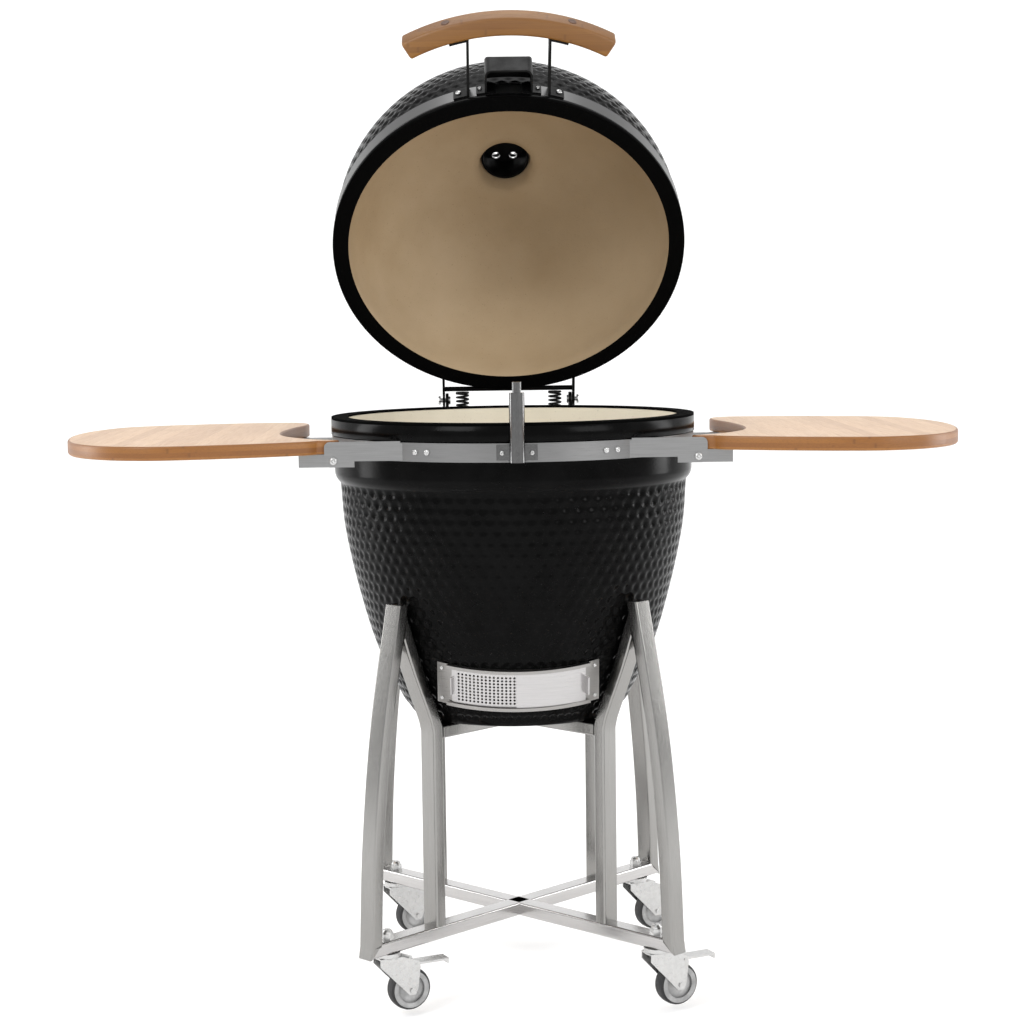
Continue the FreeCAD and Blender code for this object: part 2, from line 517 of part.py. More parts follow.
# ---- shelves ------------------------------------------------------------------------------------
front_run = [V(283, -221, 0), V(300, -238, 0), V(350, -262, 0), V(400, -281, 0), V(460, -298, 0),
             V(520, -303, 0), V(580, -277, 0), V(630, -215, 0), V(659, -120, 0), V(SHELF_X, 0, 0),
             V(660, 110, 0), V(628, 197, 0), V(590, 231, 0), V(543, 252, 0), V(470, 275, 0),
             V(396, 285, 0), V(355, 280, 0), V(333, 255, 0), V(327, 220, 0), V(329, 190, 0)]
hollow_run = [V(329, 190, 0), V(344, 110, 0), V(353, 0, 0), V(341, -90, 0), V(303, -165, 0),
              V(264, -200, 0)]
nose = [V(264, -200, 0), V(254, -208, 0), V(262, -218, 0), V(283, -221, 0)]
board = loop(front_run, hollow_run, nose).extrude(V(0, 0, SHELF_T))
board.translate(V(0, 0, SHELF_Z))
LUG_Z0, LUG_R = 809.5, 4.0
PLATE_END = 13.0      # how far a fixed plate reaches past the pivot
SLACK = .5
ARM_F_X, ARM_R_X = 312.0, 352.0      # outer ends of the moving arms
board = board.cut(box(PIVOT_X - 40, PIVOT_X + PLATE_END + 1, FRONT_Y - 20, FRONT_Y + PLATE_T + SLACK,
                      SHELF_Z - 1, SHELF_Z + SHELF_T + 1))


def lug(y0, y1, reach, rail_y0, rail_y1):
    """Moving arm under the board: an upright plate round the pivot with a flange screwed up into
    the board."""
    plate = box(PIVOT_X - 9, reach, y0, y1, LUG_Z0, SHELF_Z)
    plate = plate.makeFillet(8.5, [e for e in plate.Edges if abs(e.CenterOfMass.x - PIVOT_X + 9) < .1
                                   and abs(e.CenterOfMass.y - (y0 + y1) / 2) < .1])
    rail = box(max(PIVOT_X + 22, 0), reach, rail_y0, rail_y1, SHELF_Z - 3, SHELF_Z)
    s = plate.fuse(rail).removeSplitter()
    return s.cut(cyl(LUG_R + RUN, V(PIVOT_X, y0 - 5, PIVOT_Z), V(0, 1, 0), y1 - y0 + 10))


fy = FRONT_Y + PLATE_T + SLACK
ry = REAR_Y - SLACK
arm_f = lug(fy, fy + PLATE_T, ARM_F_X, fy, fy + 26)
arm_r = lug(ry - PLATE_T, ry, ARM_R_X, ry - 26, ry)


def fixed_plate(y0, y1, inner_x, sign):
    """Fixed plate on the band, with the pivot pin on its moving side."""
    plate = box(inner_x, PIVOT_X + PLATE_END, y0, y1, BAND_Z + 1, BAND_TOP + 2)
    low = box(PIVOT_X - 30, PIVOT_X + PLATE_END, y0, y1, PIVOT_Z - 9, BAND_Z + 5)
    plate = plate.fuse(low).removeSplitter()
    plate = plate.makeFillet(8, [e for e in plate.Edges if abs(e.CenterOfMass.x - PIVOT_X - PLATE_END) < .1
                                 and abs(e.CenterOfMass.y - (y0 + y1) / 2) < .1])
    inner_y = y1 if sign > 0 else y0
    pin = cyl(LUG_R, V(PIVOT_X, inner_y, PIVOT_Z), V(0, sign, 0), PLATE_T + SLACK + 2)
    cap = cyl(6, V(PIVOT_X, inner_y + sign * (PLATE_T + 2 * SLACK), PIVOT_Z), V(0, sign, 0), 2)
    return plate.fuse(pin).fuse(cap)


front = fixed_plate(FRONT_Y, FRONT_Y + PLATE_T, 160, 1)
rear = fixed_plate(REAR_Y, REAR_Y + PLATE_T, 190, -1)
band_cut = cyl(BAND_R, V(0, 0, BAND_Z - 20), Z, BAND_H + 22)
lip_cut = cyl(RIM_R + GAP, V(0, 0, BAND_TOP - .5), Z, 40)
foot_f = sector(BAND_R + 3, BAND_R, BAND_Z + 1, BAND_TOP - 1, 37, 49)
foot_r = sector(BAND_R + 3, BAND_R, BAND_Z + 1, BAND_TOP - 1, 131, 140)
brackets = [front.fuse(foot_f).cut(band_cut).cut(lip_cut).removeSplitter(),
            rear.fuse(foot_r).cut(band_cut).cut(lip_cut).removeSplitter()]
for tag, flip in (("right", False), ("left", True)):
    def side_of(shape):
        return mirrored(shape) if flip else shape
    emit("shelf_board_" + tag, side_of(board))
    emit("shelf_arms_" + tag, Part.makeCompound([side_of(arm_f), side_of(arm_r)]))
    emit("shelf_brackets_" + tag, Part.makeCompound([side_of(b) for b in brackets]))
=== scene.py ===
"""Kamado ceramic grill: glazed, dimpled ceramic shells, bamboo shelves and grip, steel stand.

Metres, in the CAD model's own frame: +Z up, the front towards -Y. Each new piece is a surface
worked out from the CAD node's box, and all but the hinge springs ride on the body of the node they stand for.
"""
import json

import bmesh
import bpy
import numpy as np
from mathutils import Matrix, Vector


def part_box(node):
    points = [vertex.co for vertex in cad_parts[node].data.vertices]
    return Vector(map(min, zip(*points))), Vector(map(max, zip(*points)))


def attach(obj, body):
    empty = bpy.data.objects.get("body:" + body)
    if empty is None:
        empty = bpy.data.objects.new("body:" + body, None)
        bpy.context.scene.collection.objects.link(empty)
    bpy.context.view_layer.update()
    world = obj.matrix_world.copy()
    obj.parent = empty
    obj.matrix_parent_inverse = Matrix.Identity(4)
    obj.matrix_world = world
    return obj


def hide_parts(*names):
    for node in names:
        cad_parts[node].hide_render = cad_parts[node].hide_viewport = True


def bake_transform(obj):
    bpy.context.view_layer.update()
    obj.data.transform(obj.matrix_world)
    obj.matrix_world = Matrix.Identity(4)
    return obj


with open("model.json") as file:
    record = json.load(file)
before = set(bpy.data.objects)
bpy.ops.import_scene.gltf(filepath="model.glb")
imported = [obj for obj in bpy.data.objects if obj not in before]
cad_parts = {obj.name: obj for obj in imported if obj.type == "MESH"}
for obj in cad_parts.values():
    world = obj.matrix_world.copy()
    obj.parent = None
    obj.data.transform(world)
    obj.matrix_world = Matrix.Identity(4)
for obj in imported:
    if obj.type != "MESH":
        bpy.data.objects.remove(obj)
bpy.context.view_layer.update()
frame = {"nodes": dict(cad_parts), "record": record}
NODES = frame["nodes"]
JOINTS = {j["name"]: j for j in frame["record"]["behaviour"]["joints"]}
MM = 0.001
TAU = 2 * np.pi


# ---- shader maths -------------------------------------------------------------------------------
class S:
    """A number socket. Operators on it add Math nodes to its material."""

    def __init__(self, mat, out):
        self.m, self.out = mat, out

    def _op(self, kind, *others):
        return self.m.math(kind, self, *others)

    def __add__(self, o): return self._op("ADD", o)
    def __radd__(self, o): return self._op("ADD", o)
    def __sub__(self, o): return self._op("SUBTRACT", o)
    def __rsub__(self, o): return self.m.math("SUBTRACT", o, self)
    def __mul__(self, o): return self._op("MULTIPLY", o)
    def __rmul__(self, o): return self._op("MULTIPLY", o)
    def __truediv__(self, o): return self._op("DIVIDE", o)
    def __pow__(self, o): return self._op("POWER", o)
    def __abs__(self): return self._op("ABSOLUTE")
    def __gt__(self, o): return self._op("GREATER_THAN", o)
    def __lt__(self, o): return self._op("LESS_THAN", o)
    def floor(self): return self._op("FLOOR")
    def fract(self): return self._op("FRACT")
    def sin(self): return self._op("SINE")


class Finish:
    """A material being built: a Principled shader, and one method that adds any node."""

    def __init__(self, name, metallic=0.0, roughness=0.5, color=(0.5, 0.5, 0.5), **constants):
        self.mat = bpy.data.materials.new(name)
        self.mat.use_nodes = True
        self.tree = self.mat.node_tree
        self.bsdf = self.tree.nodes["Principled BSDF"]
        self.set("Metallic", metallic)
        self.set("Roughness", roughness)
        self.set("Base Color", (*color, 1))
        for k, v in constants.items():
            self.set(k.replace("_", " "), v)

    def set(self, socket, value):
        """Links a node output to a shader socket, or sets the socket's own value."""
        if isinstance(value, S):
            self.tree.links.new(value.out, self.bsdf.inputs[socket])
        elif isinstance(value, bpy.types.NodeSocket):
            self.tree.links.new(value, self.bsdf.inputs[socket])
        else:
            self.bsdf.inputs[socket].default_value = value

    def node(self, kind, settings=None, **sockets):
        """Adds a node: its settings first, then the values or links of its sockets by name."""
        n = self.tree.nodes.new("ShaderNode" + kind)
        for k, v in (settings or {}).items():
            if k == "stops":
                ramp = n.color_ramp
                while len(ramp.elements) < len(v):
                    ramp.elements.new(0.5)
                for e, (at, c) in zip(ramp.elements, v):
                    e.position, e.color = at, (*c, 1) if len(c) == 3 else c
            else:
                setattr(n, k, v)
        for k, v in sockets.items():
            key = int(k[1:]) if k[0] == "i" and k[1:].isdigit() else k.replace("_", " ")
            link = v.out if isinstance(v, S) else v
            if isinstance(link, bpy.types.NodeSocket):
                self.tree.links.new(link, n.inputs[key])
            else:
                n.inputs[key].default_value = v
        return n

    def math(self, op, *values):
        return S(self, self.node("Math", {"operation": op},
                                 **{"i%d" % k: v for k, v in enumerate(values)}).outputs[0])

    def place(self, scale=(1, 1, 1), turn=(0, 0, 0), move=(0, 0, 0)):
        """Object coordinates in metres, scaled, turned and moved."""
        tc = self.node("TexCoord")
        return self.node("Mapping", Vector=tc.outputs["Object"], Scale=scale, Rotation=turn,
                         Location=move).outputs[0]

    def split(self, vector):
        n = self.node("SeparateXYZ", Vector=vector)
        return [S(self, o) for o in n.outputs]

    def join(self, x, y, z):
        return self.node("CombineXYZ", X=x, Y=y, Z=z).outputs[0]

    def noise(self, vector, scale, detail=3.0, rough=0.55):
        return S(self, self.node("TexNoise", None, Vector=vector, Scale=scale, Detail=detail,
                                 Roughness=rough).outputs["Fac"])

    def ramp(self, value, *stops):
        return self.node("ValToRGB", {"stops": stops}, Fac=value).outputs["Color"]

    def level(self, value, lo, hi, to_lo=0.0, to_hi=1.0):
        """value between lo and hi, carried over to to_lo .. to_hi and clamped."""
        n = self.node("MapRange", None, Value=value, i1=lo, i2=hi, i3=to_lo, i4=to_hi)
        return S(self, n.outputs[0])

    def mix(self, fac, a, b, blend="MIX"):
        n = self.node("Mix", {"data_type": "RGBA", "blend_type": blend}, i0=fac, i6=a, i7=b)
        return n.outputs[2]

    def bump(self, height, depth, strength=1.0):
        n = self.node("Bump", None, Height=height, Distance=depth, Strength=strength)
        self.set("Normal", n.outputs[0])


def c4(r, g, b):
    return (r, g, b, 1.0)


# ---- finishes -----------------------------------------------------------------------------------
def glaze():
    """Black glaze: near mirror, with a slow orange peel and slightly duller patches."""
    f = Finish("black_glaze", roughness=0.16, color=(0.002, 0.002, 0.002), Specular_IOR_Level=0.05)
    v = f.place()
    f.set("Roughness", f.level(f.noise(v, 14.0), 0.3, 0.7, 0.12, 0.24))
    f.set("Base Color", f.ramp(f.noise(v, 30.0), (0.3, (0.001, 0.001, 0.001)), (0.8, (0.003, 0.003, 0.003))))
    f.bump(f.noise(v, 260.0, 2.0), 0.0004, 0.25)
    return f.mat


def fired_clay(name, dark, light, shade_side=0.0):
    """Unglazed ceramic: cloudy cream to tan, fine grog specks and a sandy bump; if asked, painted shade
    darkens it towards +X.
    """
    f = Finish(name, roughness=0.9, color=light)
    v = f.place()
    cloud = f.level(f.noise(v, 3.2, 5.0), 0.3, 0.72)
    tone = f.mix(cloud, c4(*dark), c4(*light))
    # painted shade: the colour darkens towards +X, down to 0.62 of the dark tone
    if shade_side:
        x, y, z = f.split(v)
        tone = f.mix(f.level(x, -0.26, 0.26, 0.0, shade_side), tone, c4(*[k * 0.62 for k in dark]))
    speck = f.level(f.noise(v, 420.0, 2.0), 0.66, 0.74)
    f.set("Base Color", f.mix(speck * 0.45, tone, c4(*[k * 0.45 for k in dark])))
    f.bump(f.noise(v, 700.0, 4.0) + f.noise(v, 60.0, 3.0) * 1.5, 0.0006, 0.5)
    return f.mat


def felt():
    """Black gasket felt: matted fibres."""
    f = Finish("gasket_felt", roughness=0.95, color=(0.001, 0.001, 0.001), Specular_IOR_Level=0.02)
    v = f.place()
    f.set("Base Color", f.ramp(f.noise(v, 900.0), (0.3, (0.0006,) * 3), (0.8, (0.003,) * 3)))
    f.bump(f.noise(v, 1100.0, 5.0, 0.7), 0.0009, 0.8)
    return f.mat


def steel(name, tint, rough, grain, spread=0.12):
    """Stainless steel: grain is the noise scale along X, Y and Z, long where the brushing runs."""
    f = Finish(name, metallic=1.0, roughness=rough, color=tint)
    fine = f.noise(f.place(grain), 1.0, 6.0, 0.7)
    slow = f.noise(f.place(), 9.0, 2.0)
    f.set("Roughness", f.level(fine * 0.7 + slow * 0.3, 0.3, 0.7, rough - spread / 2, rough + spread))
    f.set("Base Color", f.mix(f.level(fine, 0.35, 0.65), c4(*[k * 0.86 for k in tint]), c4(*tint)))
    f.bump(fine, 0.0002, 0.18)
    return f.mat


def powder_coat(name="black_powder_coat", tone=0.011, rough=0.42):
    """Black powder coat: fine orange peel, rubbed a little glossier in patches."""
    f = Finish(name, roughness=rough, color=(tone, tone, tone), Specular_IOR_Level=0.15)
    v = f.place()
    f.set("Roughness", f.level(f.noise(v, 40.0), 0.3, 0.7, rough - 0.1, rough + 0.1))
    f.set("Base Color", f.ramp(f.noise(v, 300.0), (0.3, (tone * .7,) * 3), (0.75, (tone * 1.5,) * 3)))
    f.bump(f.noise(v, 1500.0, 3.0), 0.0003, 0.35)
    return f.mat


def bamboo(name, light, mid, dark, strip, along, across, gloss=0.42):
    """Laminated bamboo: strips of one width across, each its own tone, with long fibres, a darker
    glue line between strips, and a node ring at its own place every 0.24 m along."""
    f = Finish(name, roughness=gloss, color=mid)
    x = f.split(f.place())
    run, cut, other = x[along], x[across], x[3 - along - across]
    lane = (cut / strip).floor()
    own = f.noise(f.join(lane * 3.7 + 0.5, 2.1, 8.3), 1.0, 0.0)
    own2 = f.noise(f.join(lane * 5.3 + 9.5, 4.1, 1.3), 1.0, 0.0)
    fibre = f.noise(f.join(run * 14.0, cut * 900.0, other * 900.0), 1.0, 5.0, 0.65)
    slow = f.noise(f.join(run * 5.0, lane * 1.7, other * 9.0), 1.0, 2.0)
    tone = f.mix(f.level(own * 0.65 + slow * 0.35, 0.36, 0.64), c4(*mid), c4(*light))
    tone = f.mix(f.level(fibre, 0.48, 0.72) * 0.42, tone, c4(*dark))
    seam = abs((cut / strip).fract() - 0.5) > 0.482
    tone = f.mix(seam * 0.34, tone, c4(*dark))
    knot = (run / 0.24 + own2 * 7.0).fract()
    ring = f.level(abs(knot - 0.5), 0.0, 0.012, 1.0, 0.0)
    halo = f.level(abs(knot - 0.48), 0.0, 0.05, 1.0, 0.0)
    tone = f.mix(ring * 0.5, tone, c4(*dark))
    tone = f.mix(halo * 0.22, tone, c4(*mid))
    f.set("Base Color", tone)
    f.set("Roughness", f.level(fibre, 0.3, 0.7, gloss - 0.06, gloss + 0.14))
    f.set("Coat Weight", 0.12)
    f.set("Coat Roughness", 0.3)
    f.bump(fibre * 0.6 - seam * 0.5 - ring * 0.4, 0.0004, 0.4)
    return f.mat


def moulded(name, tone, rough, fine=900.0):
    """Moulded rubber or plastic: faint mottling, dust in patches, a fine grain."""
    f = Finish(name, roughness=rough, color=tone)
    v = f.place()
    f.set("Base Color", f.mix(f.level(f.noise(v, 60.0), 0.35, 0.7), c4(*[k * .8 for k in tone]),
                              c4(*[k * 1.25 for k in tone])))
    f.set("Roughness", f.level(f.noise(v, 110.0), 0.3, 0.7, rough - .08, rough + .1))
    f.bump(f.noise(v, fine, 3.0), 0.0003, 0.4)
    return f.mat


GLAZE = glaze()
LINER = fired_clay("fired_clay_base", (0.66, 0.60, 0.47), (0.86, 0.80, 0.66))
# the lid's lining carries painted shade towards +X
DOME_CLAY = fired_clay("fired_clay_lid", (0.40, 0.29, 0.165), (0.62, 0.49, 0.33), shade_side=0.75)
FELT = felt()
BAND = steel("brushed_band", (0.25, 0.25, 0.25), 0.30, (30, 30, 1600))
# painted shade: the lid's band takes a darker copy of the base band's steel
LID_BAND_SHADED = steel("brushed_lid_band_painted_shade", (0.17, 0.17, 0.17), 0.32, (1200, 30, 900))
TUBE = steel("polished_tube", (0.30, 0.295, 0.285), 0.20, (700, 700, 14), 0.08)
# painted light: the lower bars take a lighter copy of the tubes' steel
TUBE_PAINTED_LIGHT = steel("polished_bar_painted_light", (0.53, 0.52, 0.515), 0.20, (14, 14, 700), 0.08)
SHEET_STEEL = steel("brushed_sheet", (0.50, 0.49, 0.49), 0.28, (20, 20, 1500))
FRAME_STEEL = steel("brushed_frame", (0.33, 0.32, 0.31), 0.30, (20, 20, 1500))
BRIGHT = steel("bright_steel", (0.62, 0.62, 0.62), 0.10, (300, 300, 300), 0.06)
POST_STEEL = steel("dark_post_steel", (0.17, 0.17, 0.17), 0.14, (300, 300, 300), 0.06)
ZINC = steel("zinc_plate", (0.58, 0.58, 0.575), 0.27, (160, 160, 160), 0.14)
ARM_STEEL = steel("arm_steel", (0.33, 0.33, 0.33), 0.3, (20, 20, 900), 0.1)
GRATE_STEEL = steel("grate_steel", (0.40, 0.39, 0.38), 0.28, (200, 20, 200))
COAT = powder_coat(tone=0.002)
IRON = powder_coat("cast_iron", 0.02, 0.7)
SPRING_BLACK = powder_coat("black_spring", 0.006, 0.3)
BOARD = bamboo("bamboo_board", (0.62, 0.42, 0.26), (0.52, 0.33, 0.195), (0.31, 0.16, 0.07), 0.019, 1, 0)
BOARD_EDGE = bamboo("bamboo_board_edge", (0.29, 0.115, 0.016), (0.19, 0.065, 0.008),
                    (0.09, 0.030, 0.005), 0.0065, 0, 2)
GRIP = bamboo("bamboo_grip", (0.25, 0.110, 0.016), (0.165, 0.065, 0.008), (0.085, 0.028, 0.004), 0.0075, 0, 2)
PLUG = bamboo("bamboo_plug", (0.085, 0.03, 0.01), (0.06, 0.02, 0.006), (0.04, 0.012, 0.004), 0.004, 0, 2)
TREAD = moulded("caster_rubber", (0.012, 0.012, 0.013), 0.62)
RING = moulded("caster_ring", (0.30, 0.30, 0.30), 0.5)
HUB = moulded("caster_hub", (0.40, 0.40, 0.40), 0.5)


# ---- meshes -------------------------------------------------------------------------------------
def make(name, verts, faces, mats, body, node=(), smooth=True, face_mat=None):
    """A mesh object from arrays of vertices and faces, riding on a body."""
    me = bpy.data.meshes.new(name)
    me.from_pydata(np.asarray(verts, float).reshape(-1, 3).tolist(), [], [list(map(int, f)) for f in faces])
    for m in (mats if isinstance(mats, (list, tuple)) else [mats]):
        me.materials.append(m)
    if face_mat is not None:
        me.polygons.foreach_set("material_index", np.asarray(face_mat, dtype=np.int32))
    me.polygons.foreach_set("use_smooth", np.full(len(me.polygons), smooth))
    me.update()
    o = bpy.data.objects.new(name, me)
    bpy.context.scene.collection.objects.link(o)
    if body:
        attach(o, body)
    if node:
        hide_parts(*([node] if isinstance(node, str) else node))
    return o


def quads(nu, nv, wrap_u=False, wrap_v=False):
    """Faces of a grid with u down the rows and v along them; a wrapped side joins its ends."""
    i = np.arange(nu if wrap_u else nu - 1)[:, None]
    k = np.arange(nv if wrap_v else nv - 1)[None, :]
    i2, k2 = (i + 1) % nu, (k + 1) % nv
    corners = i * nv + k, i * nv + k2, i2 * nv + k2, i2 * nv + k
    return np.stack(np.broadcast_arrays(*corners), -1).reshape(-1, 4)


def outward(o):
    """Recalculates the normals of a closed piece, doubles merged first."""
    bm = bmesh.new()
    bm.from_mesh(o.data)
    bmesh.ops.remove_doubles(bm, verts=bm.verts, dist=1e-6)
    bmesh.ops.recalc_face_normals(bm, faces=bm.faces)
    bm.to_mesh(o.data)
    bm.free()
    return o


def spin(r, z, n):
    """Rings of n points: radius r at height z, about the Z axis. Shape (len(r), n, 3)."""
    a = np.arange(n) * TAU / n
    r, z = np.asarray(r, float)[:, None], np.asarray(z, float)[:, None]
    return np.stack([r * np.sin(a), -r * np.cos(a), z + 0 * a], -1)


def smooth_line(pts, step):
    """Points along the Catmull-Rom curve through pts, about step apart."""
    p = np.asarray(pts, float)
    q = np.vstack([2 * p[0] - p[1], p, 2 * p[-1] - p[-2]])
    out = []
    for k in range(len(p) - 1):
        a, b, c, d = q[k:k + 4]
        n = max(1, int(round(np.linalg.norm(c - b) / step)))
        t = (np.arange(n) / n)[:, None]
        out.append(0.5 * (2 * b + (c - a) * t + (2 * a - 5 * b + 4 * c - d) * t ** 2
                          + (3 * b - a - 3 * c + d) * t ** 3))
    return np.vstack(out + [p[-1:]])


def moved(P, m):
    """Points P carried by the 4x4 matrix m."""
    m = np.array(m)
    return np.asarray(P) @ m[:3, :3].T + m[:3, 3]


def bar_along(path, wide, thick, side, radius, steps=3):
    """A rounded rectangle carried along path. side is the unit vector of its width; the corner
    arcs have steps parts. Returns rings of points."""
    path = np.asarray(path, float)
    t = np.gradient(path, axis=0)
    t /= np.linalg.norm(t, axis=1, keepdims=True)
    s = np.asarray(side, float)
    n = np.cross(t, s)
    n /= np.linalg.norm(n, axis=1, keepdims=True)
    c, k = [], np.linspace(0, np.pi / 2, steps + 1)
    for q, (sx, sy) in enumerate(((1, 1), (-1, 1), (-1, -1), (1, -1))):
        a = k + q * np.pi / 2
        c.append(np.stack([sx * (wide / 2 - radius) + radius * np.cos(a),
                           sy * (thick / 2 - radius) + radius * np.sin(a)], -1))
    c = np.vstack(c)
    return path[:, None] + c[None, :, :1] * s + c[None, :, 1:] * n[:, None]


def capped(P):
    """Faces of rings P closed at both ends by one face each."""
    nu, nv = P.shape[:2]
    f = quads(nu, nv, wrap_v=True).tolist()
    return f + [list(range(nv))[::-1], list(range((nu - 1) * nv, nu * nv))]


# ---- places read from the CAD -------------------------------------------------------------------
def ends(node):
    lo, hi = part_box(node)
    return np.array(lo), np.array(hi)


shell_lo, shell_hi = ends("base_shell")
AXIS = (shell_lo + shell_hi) / 2 * [1, 1, 0]
RIM_R = (shell_hi[0] - shell_lo[0]) / 2
LID_HINGE = Vector(JOINTS["lid_hinge"]["pos_m"])
OPEN = np.radians(JOINTS["lid_hinge"]["range_deg"][1])
TILT = Matrix.Rotation(-OPEN, 3, "X")
SHUT_TO_OPEN = (Matrix.Translation(LID_HINGE) @ TILT.to_4x4()
                @ Matrix.Translation(-LID_HINGE + Vector(AXIS)))
RIM_IN = RIM_R - 24.9 * MM
COLLAR_R = RIM_R - 4.3 * MM

# ---- dimpled ceramic ----------------------------------------------------------------------------
ROW, DIMPLE, PER_ROW = 16.0 * MM, 8.6 * MM, 83
DEPTH = 1.9 * MM


def dimpled(line, start, stop, n, counts=((0.0, PER_ROW),)):
    """A surface of revolution pressed with rows of dimples from arc length start to stop.

    Rows are ROW apart and each is turned half a pitch from the last. A point at distance d from
    its nearest dimple's middle goes in by DEPTH (1 - (d / radius)^2)^2. counts gives how many
    dimples a row has where the profile is wider than that radius."""
    r, z = line[:, 0], line[:, 1]
    t = np.gradient(line, axis=0)
    t /= np.linalg.norm(t, axis=1, keepdims=True)
    s = np.r_[0, np.cumsum(np.linalg.norm(np.diff(line, axis=0), axis=1))] - start
    a = np.arange(n) / n
    rows = np.arange(0, int((stop - start) / ROW) + 1)
    r_row = np.interp(rows * ROW, s, r)
    count = np.select([r_row >= lim for lim, _ in counts], [c for _, c in counts], counts[-1][1])
    press = np.zeros((len(r), n))
    base = np.floor(s / ROW).astype(int)
    for k in (base, base + 1):
        ok = (k >= 0) & (k < len(rows))
        kk = np.clip(k, 0, len(rows) - 1)
        c = count[kk][:, None]
        u = (a[None] * c + 0.5 * (kk % 2)[:, None] + 0.5) % 1.0 - 0.5
        arc = u * TAU * r_row[kk][:, None] / c
        reach = np.minimum(DIMPLE, 0.47 * TAU * r_row[kk] / count[kk])[:, None]
        q = (arc ** 2 + ((s - kk * ROW) ** 2)[:, None]) / reach ** 2
        press = np.maximum(press, np.where(ok[:, None], np.clip(1 - q, 0, 1) ** 2, 0))
    P = spin(r, z, n)
    ang = a * TAU
    out_r, out_z = t[:, 1], -t[:, 0]
    N = np.stack([out_r[:, None] * np.sin(ang), -out_r[:, None] * np.cos(ang),
                  out_z[:, None] + 0 * ang], -1)
    return P, N, press


def resampled(line, steps):
    """The profile at arc lengths steps."""
    s = np.r_[0, np.cumsum(np.linalg.norm(np.diff(line, axis=0), axis=1))]
    return np.stack([np.interp(steps, s, line[:, 0]), np.interp(steps, s, line[:, 1])], -1)


def shell_piece(name, outer, inner, start, stop, n, counts, body, node, mats, place=None, window=None):
    """One closed ceramic shell: dimpled glaze outside, plain clay inside, joined ring to ring."""
    P, N, press = dimpled(outer, start, stop, n, counts)
    sign = np.sign(np.sum(N[0, 0] * (P[0, 0] - P.mean((0, 1)))))
    P = P - N * (press * DEPTH)[..., None] * sign
    Q = spin(inner[:, 0], inner[:, 1], n)
    V = np.concatenate([P, Q])
    f = quads(len(V), n, wrap_u=False, wrap_v=True)
    V = V.reshape(-1, 3)
    glazed = np.repeat(np.arange(len(f) // n) < len(P) - 1, n)
    if window is not None:
        mid = V[f].mean(1)
        (x0, x1), (z0, z1) = window
        keep = ~((mid[:, 0] > x0) & (mid[:, 0] < x1) & (mid[:, 2] > z0) & (mid[:, 2] < z1) & (mid[:, 1] < 0))
        f, glazed = f[keep], glazed[keep]
    V = moved(V, place) if place else V + AXIS
    return make(name, V, f, mats, body, node, face_mat=np.where(glazed, 0, 1))


Z_TOP, Z_BOT = shell_hi[2], shell_lo[2]
band_lo, band_hi = ends("base_band")
BODY = [(770, 264.5), (700, 258.5), (610, 239.5), (520, 213), (446, 178), (428, 166)]
side = smooth_line([(r * MM, z * MM) for z, r in BODY], 2 * MM)
lip = np.array([(RIM_R - 1 * MM, Z_TOP), (RIM_R, Z_TOP - 1 * MM), (RIM_R, band_hi[2] + 2.5 * MM),
                (RIM_R - .6 * MM, band_hi[2] + 1.6 * MM), (COLLAR_R, band_hi[2] + .8 * MM),
                (COLLAR_R, .812), (COLLAR_R, .792)])
step = smooth_line([(COLLAR_R, .792), (COLLAR_R - .3 * MM, .787), (COLLAR_R - 2.2 * MM, .7805),
                    (COLLAR_R - 5.6 * MM, .7755), (.2652, .773), side[0]], 1.5 * MM)
foot = smooth_line([side[-1], (.161, .4205), (.157, .4165), (.150, Z_BOT)], 2 * MM)
outer = np.vstack([lip, step[1:], side[1:], foot[1:], [(.08, Z_BOT), (.02, Z_BOT)]])
length = np.r_[0, np.cumsum(np.linalg.norm(np.diff(outer, axis=0), axis=1))]
s_side = np.linalg.norm(np.diff(np.vstack([lip, step[1:]]), axis=0), axis=1).sum()
s_foot = s_side + np.linalg.norm(np.diff(side, axis=0), axis=1).sum()
marks = np.unique(np.round(np.r_[length[:len(lip) + len(step)], np.arange(s_side, s_foot, 2.35 * MM),
                                 length[-len(foot) - 1:]], 5))
outer = resampled(outer, marks)
in_line = smooth_line([(RIM_IN - 0.1 * MM, .800), (RIM_IN - 5 * MM, .784), (.2395, .770), (.2335, .700),
                       (.2145, .610), (.188, .520), (.162, .462), (.140, Z_BOT + 25 * MM)], 14 * MM)
inner = np.vstack([[(.02, Z_BOT + 25 * MM)], in_line[::-1],
                   [(RIM_IN, Z_TOP - 3 * MM), (RIM_IN + 1 * MM, Z_TOP)]])
base = shell_piece("base_shell_dimpled", outer[::-1], inner, length[-1] - s_foot + 3 * MM,
                   length[-1] - s_side - 4 * MM, PER_ROW * 7, ((0.0, PER_ROW),), "root",
                   "base_shell", [GLAZE, LINER], window=((-.094, .094), (.462, .498)))

# lid, worked out shut about the Z axis, then turned open about the hinge
gasket_t = 3 * MM
LID_RIM = Z_TOP + gasket_t + 1 * MM
CLAY = LID_RIM + gasket_t
lb = LID_RIM + 13 * MM
DOME = LID_RIM + 48 * MM


def quarter(r0, r1, z0, h, step):
    """Quarter ellipse from radius r0 at height z0 up to radius r1."""
    a1 = np.arctan2(np.sqrt(r0 ** 2 - r1 ** 2), r1)
    k = np.linspace(0, a1, int(a1 * (r0 + h) / 2 / step) + 1)
    return np.stack([r0 * np.cos(k), z0 + h * np.sin(k)], -1)


